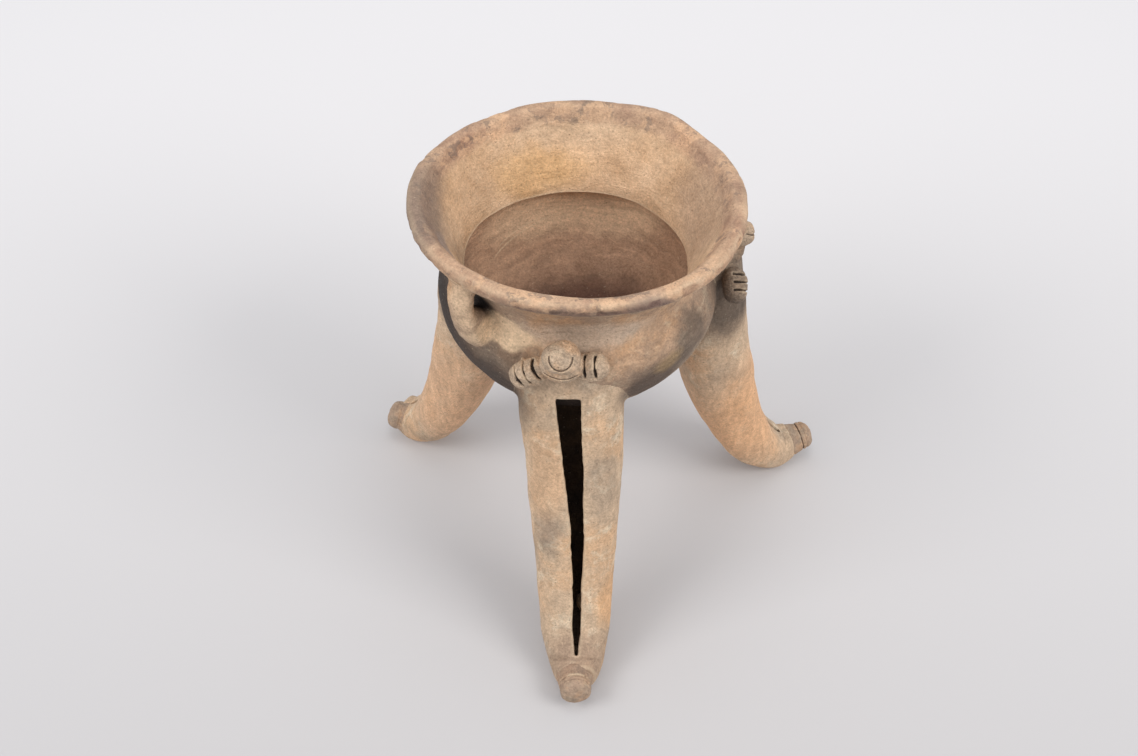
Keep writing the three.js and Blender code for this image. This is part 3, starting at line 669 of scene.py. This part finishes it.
innerBowl = evenly(bowlSide(pot["wall"])[::-1], pot["step"])
bowl = shaped(spun(outer[:seamAt + 1] + softened(innerBowl, 3), False, pot["turns"]))
bowlTree = BVHTree.FromBMesh(bowl)

# everything inside the bowl and neck, a little under the skin: what is luted on is cut back to it
fillLine = [Vector((max(0, p.x - pot["fillInset"]), 0, p.z)) for p in outer[:-1:2]]
fillLine[0].z += pot["fillInset"]
fillLine += [Vector((pot["rimRadius"], 0, -1)), Vector((pot["rimRadius"], 0, 2)), Vector((0, 0, 2))]
filler = shaped(spun(fillLine, False, 96))
print("stage: neck and bowl")


def alongLine(points, t):
    # a smooth line through the points, with even time between them
    at = t * (len(points) - 1)
    i = min(int(at), len(points) - 2)
    p1, p2 = points[i], points[i + 1]
    p0 = points[i - 1] if i else p1 * 2 - p2
    p3 = points[i + 2] if i + 2 < len(points) else p2 * 2 - p1
    d0, d1, d2 = ((b - a).length ** 0.5 for a, b in ((p0, p1), (p1, p2), (p2, p3)))
    m1 = ((p1 - p0) / d0 - (p2 - p0) / (d0 + d1) + (p2 - p1) / d1) * d1
    m2 = ((p2 - p1) / d1 - (p3 - p1) / (d1 + d2) + (p3 - p2) / d2) * d1
    u = at - i
    return (p1 + m1 * u + (p2 * 3 - p1 * 3 - m1 * 2 - m2) * u ** 2 + (p1 * 2 - p2 * 2 + m1 + m2) * u ** 3)


def loft(sides, stations, corner):
    # a skin over rings: corner(turn, station) says where a ring's corner goes
    bm = bmesh.new()
    turns = bm.verts.layers.float.new("turn")
    ring = bmesh.ops.create_circle(bm, segments=sides, radius=1)["verts"]
    for v in ring:
        v[turns] = math.atan2(v.co.y, v.co.x)
        v.co = corner(v[turns], stations[0])
    edges = list({edge for v in ring for edge in v.link_edges})
    bmesh.ops.contextual_create(bm, geom=edges)
    for station in stations[1:]:
        made = bmesh.ops.extrude_edge_only(bm, edges=edges)["geom"]
        ring = {g for g in made if isinstance(g, bmesh.types.BMVert)}
        edges = [g for g in made if isinstance(g, bmesh.types.BMEdge) and ring.issuperset(g.verts)]
        for v in ring:
            v.co = corner(v[turns], station)
    bmesh.ops.contextual_create(bm, geom=edges)
    bmesh.ops.recalc_face_normals(bm, faces=bm.faces)
    return bm


def carved(bm, cutters, grain):
    # cuts the cutters out of a solid and grows one even skin over what is left
    block = toObject(bm, "block")
    tools = [toObject(cutter, "cutter") for cutter in cutters]
    for tool in tools:
        cut = block.modifiers.new("cut", "BOOLEAN")
        cut.object = tool
        cut.operation = "DIFFERENCE"
        cut.solver = "MANIFOLD"
    if grain:
        skin = block.modifiers.new("skin", "REMESH")
        skin.mode = "VOXEL"
        skin.voxel_size = grain
    bpy.context.view_layer.update()
    made = bmesh.new()
    made.from_object(block, bpy.context.evaluated_depsgraph_get())
    for item in [block] + tools:
        mesh = item.data
        bpy.data.objects.remove(item)
        bpy.data.meshes.remove(mesh)
    return made


def smoothed(bm, rounds, factor=0.5):
    for _ in range(rounds):
        bmesh.ops.smooth_vert(bm, verts=bm.verts, factor=factor, use_axis_x=True, use_axis_y=True,
                              use_axis_z=True)
    bm.normal_update()
    return bm


def spreadOnto(bm, tree, radius, depth=0):
    # clay thumbed out where a lump meets what carries it: its skin flares into a fillet of that radius,
    # less where the skin already lies along what carries it
    moves = []
    for v in bm.verts:
        spot, normal, _, gap = tree.find_nearest(v.co, radius + 6)
        if spot is None:
            continue
        side = (v.co - spot).dot(normal) + depth
        if side >= radius:
            continue
        share = min(1, max(0, side / radius))
        reach = radius * (1 - math.sqrt(max(0, 1 - (1 - share) ** 2)))
        along = v.normal - normal * v.normal.dot(normal)
        if along.length > 0.15:
            moves.append((v, along.normalized() * reach * blend(0.1, 0.5, along.length)))
    for v, move in moves:
        v.co += move
    bm.normal_update()


# Legs: hollow, slit down the front, bent out to a heel.
legs = {
    "height": 218, "topReach": 61.6, "heelReach": 127, "halfDepth": 21, "halfWidth": 27.5, "wall": 5.5,
    "heelWear": 0.9, "squareness": 2.5, "grain": 0.85, "luting": 2.6,
    "slitTop": 193.5, "slitEnd": 0.9, "cavityEnd": 0.84,
    "slit": [(12.6, -3.6), (6.9, 1.4), (2.2, 0)],  # its width and how far aside, at the top, halfway and at the end
    "slitRagged": [(22, 0.3), (80, 0.45)],  # nicks along its length, and how deep they go
    "shoulderRise": (120, 190),  # the heights between which a leg's shoulder shifts
    # painted shade: the cavity's walls are darkened with depth under the skin
    "darkFrom": (0.6, 4.5),  # how far under the skin the wall of the cavity darkens
    # painted shade over each leg's cavity, on the bowl's wall
    "closedBy": {"reach": 24, "heights": (150, 210), "edge": (0.2, 0.3)},  # the bowl's wall over a cavity
    "stations": [(0, 1, .52, .78), (.01, .952, .84, .96), (.064, .82, .93, 1), (.107, .705, .98, .965),
                 (.194, .56, 1, .91), (.33, .395, .94, .85), (.524, .238, .82, .79), (.748, .12, .72, .71),
                 (1, .056, .61, .54), (1.16, .064, .46, .39)],
    "swells": [(42, 0.9), (15, 0.55), (5, 0.16)],
    "each": {
        "front": {"bearing": -88.8, "shift": (-2.8, 2), "toe": (0, -0.8, 0), "toeTurn": 0,
                  "figure": -96, "head": (0, 1.8), "paws": (0, 0), "shoulder": (-1.8, 0),
                  "ring": 1, "pawScale": 1},
        "right": {"bearing": 16, "shift": (8.4, -0.4), "toe": (1.4, 0, -0.4), "toeTurn": 0,
                  "figure": 6, "head": (2.6, 4.6), "paws": (-4, 2), "shoulder": (0, 0),
                  "ring": 1, "pawScale": 0.87},
        "left": {"bearing": 150.3, "shift": (4.4, -5.2), "toe": (-7.5, 4.5, 0.6), "toeTurn": 20,
                 "figure": 144, "head": (-2, 0), "paws": (0, 0), "shoulder": (0, 0), "ring": 0.25,
                 "pawScale": 1},
    },
}
middle = [Vector((legs["topReach"] + (legs["heelReach"] - legs["topReach"]) * way, 0, height * legs["height"]))
          for way, height, _, _ in legs["stations"]]
sizes = [Vector((deep * legs["halfDepth"], wide * legs["halfWidth"], 0)) for _, _, deep, wide in legs["stations"]]


def legSection(t):
    along = (alongLine(middle, min(1, t + 1e-4)) - alongLine(middle, max(0, t - 1e-4))).normalized()
    size = alongLine(sizes, t)
    return alongLine(middle, t), Vector((-along.z, 0, along.x)), size.x, size.y


def legSkin(sides, rings, first, last, inset, squareness):
    def corner(turn, share):
        centre, out, deep, wide = legSection(first + (last - first) * share)
        c, s = squared(math.cos(turn), squareness), squared(math.sin(turn), squareness)
        return centre + out * c * (deep - inset) + Vector((0, s * (wide - inset), 0))
    return loft(sides, [i / rings for i in range(rings + 1)], corner)


def atHeight(height):
    low, high = 0, 1
    for _ in range(30):
        half = (low + high) / 2
        low, high = (half, high) if alongLine(middle, half).z > height else (low, half)
    return low


def slitWedge(seed):
    first = atHeight(legs["slitTop"])
    (w0, a0), (w1, a1), (w2, a2) = legs["slit"]

    def corner(turn, share):
        centre, out, deep, _ = legSection(first + (legs["slitEnd"] - first) * share)
        half = share * 2 if share < 0.5 else share * 2 - 1
        width, aside = ((w0 + (w1 - w0) * half, a0 + (a1 - a0) * half) if share < 0.5
                        else (w1 + (w2 - w1) * half, a1 + (a2 - a1) * half))
        side = 1 if math.sin(turn) > 0 else -1
        far = 1 if math.cos(turn) > 0 else 0
        ragged = sum(nick * noise.noise(Vector((share * often, side * 5, seed)))
                     for often, nick in legs["slitRagged"])
        return (centre + out * far * (deep + 6)
                + Vector((0, aside + side * (width / 2 + ragged * min(1, width / 4)), 0)))
    # a four-cornered ring, its corners just off an eighth turn from the axes, so that each has its own side
    return loft(4, [i / 90 for i in range(91)], lambda turn, share: corner(turn + math.pi / 4.001, share))


legDrop = -min(v.co.z for v in legSkin(48, 80, 0, 1, 0, 2).verts) - legs["heelWear"]
cavityTop = atHeight(legs["slitTop"] + legs["wall"] + 4)


def legFrame(leg):
    return Matrix.Translation((*leg["shift"], legDrop)) @ Matrix.Rotation(rad(leg["bearing"]), 4, "Z")


potTree = BVHTree.FromPolygons(
    [v.co.copy() for b in (neck, bowl) for v in b.verts],
    [[v.index + offset for v in face.verts] for b, offset in ((neck, 0), (bowl, len(neck.verts)))
     for face in b.faces])

legTrees = {}
for seed, (name, leg) in enumerate(legs["each"].items()):
    own = legFrame(leg)
    shell = legSkin(72, 90, 0, 1, 0, legs["squareness"])
    shell.transform(own)
    for v in shell.verts:
        v.co += Vector((*leg["shoulder"], 0)) * blend(*legs["shoulderRise"], v.co.z)
    skinTree = BVHTree.FromBMesh(shell)
    cavity = legSkin(48, 50, cavityTop, legs["cavityEnd"], legs["wall"], 2)
    cavity.transform(own)
    wedge = slitWedge(seed * 7.3)
    wedge.transform(own)
    made = smoothed(carved(shell, [cavity, wedge, filler.copy()], legs["grain"]), 4)
    # painted shade: the cavity and the slit's walls darken with their depth under the skin
    inside = made.verts.layers.float.new("inside")
    for v in made.verts:
        gap = skinTree.find_nearest(v.co)[3]
        v[inside] = blend(*legs["darkFrom"], gap) if bowlTree.find_nearest(v.co)[3] > 2.5 or gap > 6 else 0
    uneven(made, legs["swells"])
    spreadOnto(made, potTree, legs["luting"])
    legTrees[name] = BVHTree.FromBMesh(made)
    place(made, "legSkin_" + name, ["leg_" + name], "vessel", "leg_clay")
# painted shade: the bowl's wall where it closes the top of a leg, dark inside the cavity
legCavityShade = bowl.verts.layers.float.new("legCavityShade")  # the bowl's wall where it closes the top of a leg
bowlInside = bowl.verts.layers.float.get("inside")
closed = legs["closedBy"]
lowest, highest = closed["heights"]
for leg in legs["each"].values():
    toLeg = legFrame(leg).inverted()
    for v in bowl.verts:
        own = toLeg @ v.co
        aside = own.x - legs["topReach"]
        if v[bowlInside] < 0.5 and abs(aside) < closed["reach"] and lowest < own.z < highest:
            within = 1 - math.hypot(aside / legs["halfDepth"], own.y / legs["halfWidth"])
            v[legCavityShade] = max(v[legCavityShade], blend(*closed["edge"], within))
print("stage: legs")

# Toes: a collar, an incised ring and a round end, rough where the vessel has stood.
toes = {
    "rise": 12, "step": 0.3, "turns": 120,
    "outline": [(-4, 8.6), (-2.4, 10.0), (-0.8, 10.4), (0.8, 9.9), (2.3, 9.5), (4.0, 9.2), (6.0, 9.1), (8.0, 9.0),
                (9.6, 8.7), (11.0, 8.0), (12.2, 6.7), (13.1, 4.9), (13.6, 2.6), (13.7, 0)],
    "rings": [(5.4, 0.9, 0.4), (8.2, 0.35, 0.5)],  # how far out, how deep and how wide each incised line is
    "swells": [(9, 0.8), (3, 0.28), (1.4, 0.12)],
}
legEnd = alongLine(middle, 1)
for name, leg in legs["each"].items():
    line = [(0, toes["outline"][0][0])] + [(r, along) for along, r in toes["outline"]]
    line = softened(evenly(line, toes["step"]), 3)
    for p in line:
        p.x -= sum(deep * leg["ring"] * bell(p.z, at, wide) for at, deep, wide in toes["rings"])
    toe = spun(line, False, toes["turns"])
    # the outline is turned upright, so it is laid down along the leg's own way out
    toe.transform(legFrame(leg) @ Matrix.Translation((legEnd.x, 0, legEnd.z)) @ Matrix.Translation(leg["toe"])
                  @ Matrix.Rotation(rad(leg["toeTurn"]), 4, "Z") @ Matrix.Rotation(rad(90 - toes["rise"]), 4, "Y"))
    uneven(toe, toes["swells"])
    place(toe, "toeEnd_" + name, ["toe_" + name], "vessel", "toe_clay")
print("stage: toes")

# Figures: a small head over a ledge, with a paw on each side, pressed on over the top of each leg.
figures = {
    "grain": 0.42, "luting": 2.2, "pawLuting": 1.6, "sunk": 0.4,
    "headRounds": 26, "pawRounds": 6, "pawLastRounds": 7,  # how often each is smoothed
    "head": {"place": (82.5, 0, -31), "size": (19.4, 19, 13.6),
             "ledgeSize": (20, 23, 15), "ledgeMove": (-4.4, 0, -8.2)},
    "snout": {"size": (8.4, 7.6, 11), "move": (5.3, 0, 1.2)},
    "mouth": {"width": 11, "depth": 1, "reach": 0.65, "tilt": 42},
    "ledgeLine": {"height": -39.8, "half": 9.5, "reach": 0.55, "depth": 0.8},
    "swells": [(7, 0.8), (2.8, 0.26)],
    "paws": [
        {"letter": "a", "side": -1, "digits": 4, "width": 22, "aside": 13.5, "rise": 5.5, "splay": 33},
        {"letter": "b", "side": 1, "digits": 3, "width": 17.5, "aside": 15.4, "rise": 12, "splay": -6},
    ],
    "pawThickness": 13, "pawHeight": 14, "pawSquareness": 2.4,
    "groove": {"depth": 2, "reach": 0.66, "spread": 0.92, "wander": 0.5, "back": -2, "fades": (-3.8, -0.8)},
}


def lump(size, place=(0, 0, 0), squareness=2):
    bm = bmesh.new()
    bmesh.ops.create_uvsphere(bm, u_segments=48, v_segments=28, radius=0.5)
    for v in bm.verts:
        v.co = [squared(2 * c, squareness) / 2 for c in v.co]
    bm.transform(Matrix.Translation(place) @ Matrix.Diagonal((*size, 1)))
    return bm


def joined(parts):
    bm = bmesh.new()
    for part in parts:
        mesh = bpy.data.meshes.new("part")
        part.to_mesh(mesh)
        part.free()
        bm.from_mesh(mesh)
        bpy.data.meshes.remove(mesh)
    return bm


for name, leg in legs["each"].items():
    figureFrame = onVessel(leg["figure"])
    headFrame = figureFrame @ Matrix.Translation((*leg["head"], 0))
    head = figures["head"]
    centre = Vector(head["place"])
    snoutLump = figures["snout"]
    made = joined([lump(head["size"], centre), lump(head["ledgeSize"], centre + Vector(head["ledgeMove"])),
                   lump(snoutLump["size"], centre + Vector(snoutLump["move"]))])
    made = smoothed(carved(made, [], figures["grain"]), figures["headRounds"])
    made.transform(headFrame)
    made = carved(made, [filler.copy()], 0)
    uneven(made, figures["swells"])
    mouth = figures["mouth"]
    snout = headFrame @ Matrix.Translation(centre) @ Matrix.Rotation(rad(-mouth["tilt"]), 4, "Y")
    toSnout, toHead = snout.inverted(), headFrame.inverted()
    inwards = snout.to_3x3() @ Vector((-1, 0, 0))
    # the mouth is a little more than half a circle, open at the top
    arc = [Vector((0, math.cos(a), math.sin(a) * 1.1)) * mouth["width"] / 2
           for a in (math.pi * (0.03 - 1.03 * i / 24) for i in range(25))]
    cut = made.verts.layers.float.new("cut")
    line = figures["ledgeLine"]
    for v in made.verts:
        p = toSnout @ v.co
        q = toHead @ v.co
        rise = abs(q.z - line["height"] - 0.5 * noise.noise(q / 5))
        if q.x > centre.x - 6 and abs(q.y) < line["half"] and rise < line["reach"]:
            share = (1 - (rise / line["reach"]) ** 2) * blend(line["half"], line["half"] - 2, abs(q.y))
            v.co += inwards * line["depth"] * share
            v[cut] = 0.6 * share
        if p.x < 0:
            continue
        flat = Vector((0, p.y, p.z))
        gap = min((flat - a).length for a in arc)
        if gap < mouth["reach"]:
            share = 1 - (gap / mouth["reach"]) ** 2
            v.co += inwards * mouth["depth"] * share
            v[cut] = 0.65 * share
    made.normal_update()
    for tree in (potTree, legTrees[name]):
        spreadOnto(made, tree, figures["luting"], figures["sunk"])
    place(made, "headLump_" + name, ["head_" + name], "vessel", "figure_clay")

    toFigure = figureFrame.inverted() @ Matrix.Translation(-Vector(stance["home"]))
    for paw, aside in zip(figures["paws"], leg["paws"]):
        node = "paw_" + name + "_" + paw["letter"]
        outermost = max((toFigure @ (v.co * 1000)).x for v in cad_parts[node].data.vertices)
        y = paw["side"] * paw["aside"] + aside
        z = pot["widest"] + paw["rise"]
        width = paw["width"] * leg["pawScale"]
        pawFrame = (figureFrame @ Matrix.Translation((outermost - figures["pawThickness"] / 2, y, z))
                    @ Matrix.Rotation(rad(-paw["side"] * paw["splay"]), 4, "X"))
        pad = lump((figures["pawThickness"], width, figures["pawHeight"]), squareness=figures["pawSquareness"])
        made = smoothed(carved(pad, [], figures["grain"]), figures["pawRounds"])
        made.transform(pawFrame)
        made.normal_update()
        for tree in (potTree, legTrees[name]):
            spreadOnto(made, tree, figures["pawLuting"], figures["sunk"])
        made = smoothed(carved(made, [], figures["grain"]), figures["pawLastRounds"])
        toPaw = pawFrame.inverted()
        cut = made.verts.layers.float.new("cut")
        groove = figures["groove"]
        for v in made.verts:
            p = toPaw @ v.co
            for i in range(1, paw["digits"]):
                stray = groove["wander"] * noise.noise(p / 7 + Vector((i * 3.1, 0, 0)))
                gap = abs(p.y - ((i / paw["digits"] - 0.5) * width * groove["spread"] + stray)) / groove["reach"]
                if p.x > groove["back"] and gap < 1:
                    share = blend(*groove["fades"], p.z) * (1 - gap ** 2)
                    v.co -= v.normal * groove["depth"] * share
                    v[cut] = share
        uneven(made, figures["swells"])
        place(made, "pawPad_" + name + "_" + paw["letter"], [node], "vessel", "figure_clay")
print("stage: heads and paws")

# Handles: a strap from under the lip to the shoulder, smeared on at both ends.
handles = {
    "bearings": {"front": -132.5, "back": 47.5},
    "top": (76.75, -4), "foot": (70, -48), "bow": 7, "width": 15, "thickness": 9.5,
    "web": 14, "webEnd": (0.54, 0.4),  # the clay packed in under the strap, and where it thins out
    "footRound": (0.04, 0.24),  # the foot ends round over this share of the strap
    "grain": 0.5, "luting": 4.5, "sunk": 0.4, "swells": [(12, 0.9), (4, 0.4)],
}


def strapCorner(turn, share):
    (topX, topZ), (footX, footZ) = handles["top"], handles["foot"]
    way = (1 - math.cos(math.pi * share)) / 2
    x = footX + (topX - footX) * way + handles["bow"] * math.sin(math.pi * share)
    z = footZ + (topZ - footZ) * way
    packed = handles["web"] * blend(*handles["webEnd"], share) if math.cos(turn) < 0 else 0
    x += (handles["thickness"] / 2 + packed) * math.cos(turn)
    blunt, reach = handles["footRound"]
    rounded = math.sqrt(1 - (1 - min(1, blunt + share / reach)) ** 2)
    return Vector((x, handles["width"] / 2 * rounded * math.sin(turn), z))


for name, bearing in handles["bearings"].items():
    strap = loft(40, [i / 40 for i in range(41)], strapCorner)
    made = smoothed(carved(strap, [], handles["grain"]), 5)
    made.transform(onVessel(bearing))
    made = carved(made, [filler.copy()], 0)
    uneven(made, handles["swells"])
    spreadOnto(made, potTree, handles["luting"], handles["sunk"])
    place(made, "strap_" + name, ["handle_" + name], "vessel", "handle_clay")
print("stage: handles")

# Rattle balls: rolled between the palms, so not quite round, and never larger than the CAD's.
balls = {"radius": 7, "uneven": 0.35}
for name in legs["each"]:
    for letter in "ab":
        which = name + "_" + letter
        low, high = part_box("pellet_" + which)
        centre = (low + high) * 500 - Vector(stance["home"])
        bm = bmesh.new()
        bmesh.ops.create_icosphere(bm, subdivisions=5, radius=balls["radius"] - balls["uneven"])
        for v in bm.verts:
            way = v.co.normalized()
            v.co += way * balls["uneven"] * noise.noise((v.co + centre) / 5)
        bm.transform(Matrix.Translation(centre))
        place(bm, "ball_" + which, ["pellet_" + which], "ball_" + which, "pellet_clay")
print("stage: rattle balls")

place(neck, "neckShell", ["flared_neck"], "vessel", "neck_clay", crisp=50)
place(bowl, "bowlShell", ["vessel_body"], "vessel", "bowl_clay", crisp=50)
filler.free()
print("stage: all in place")
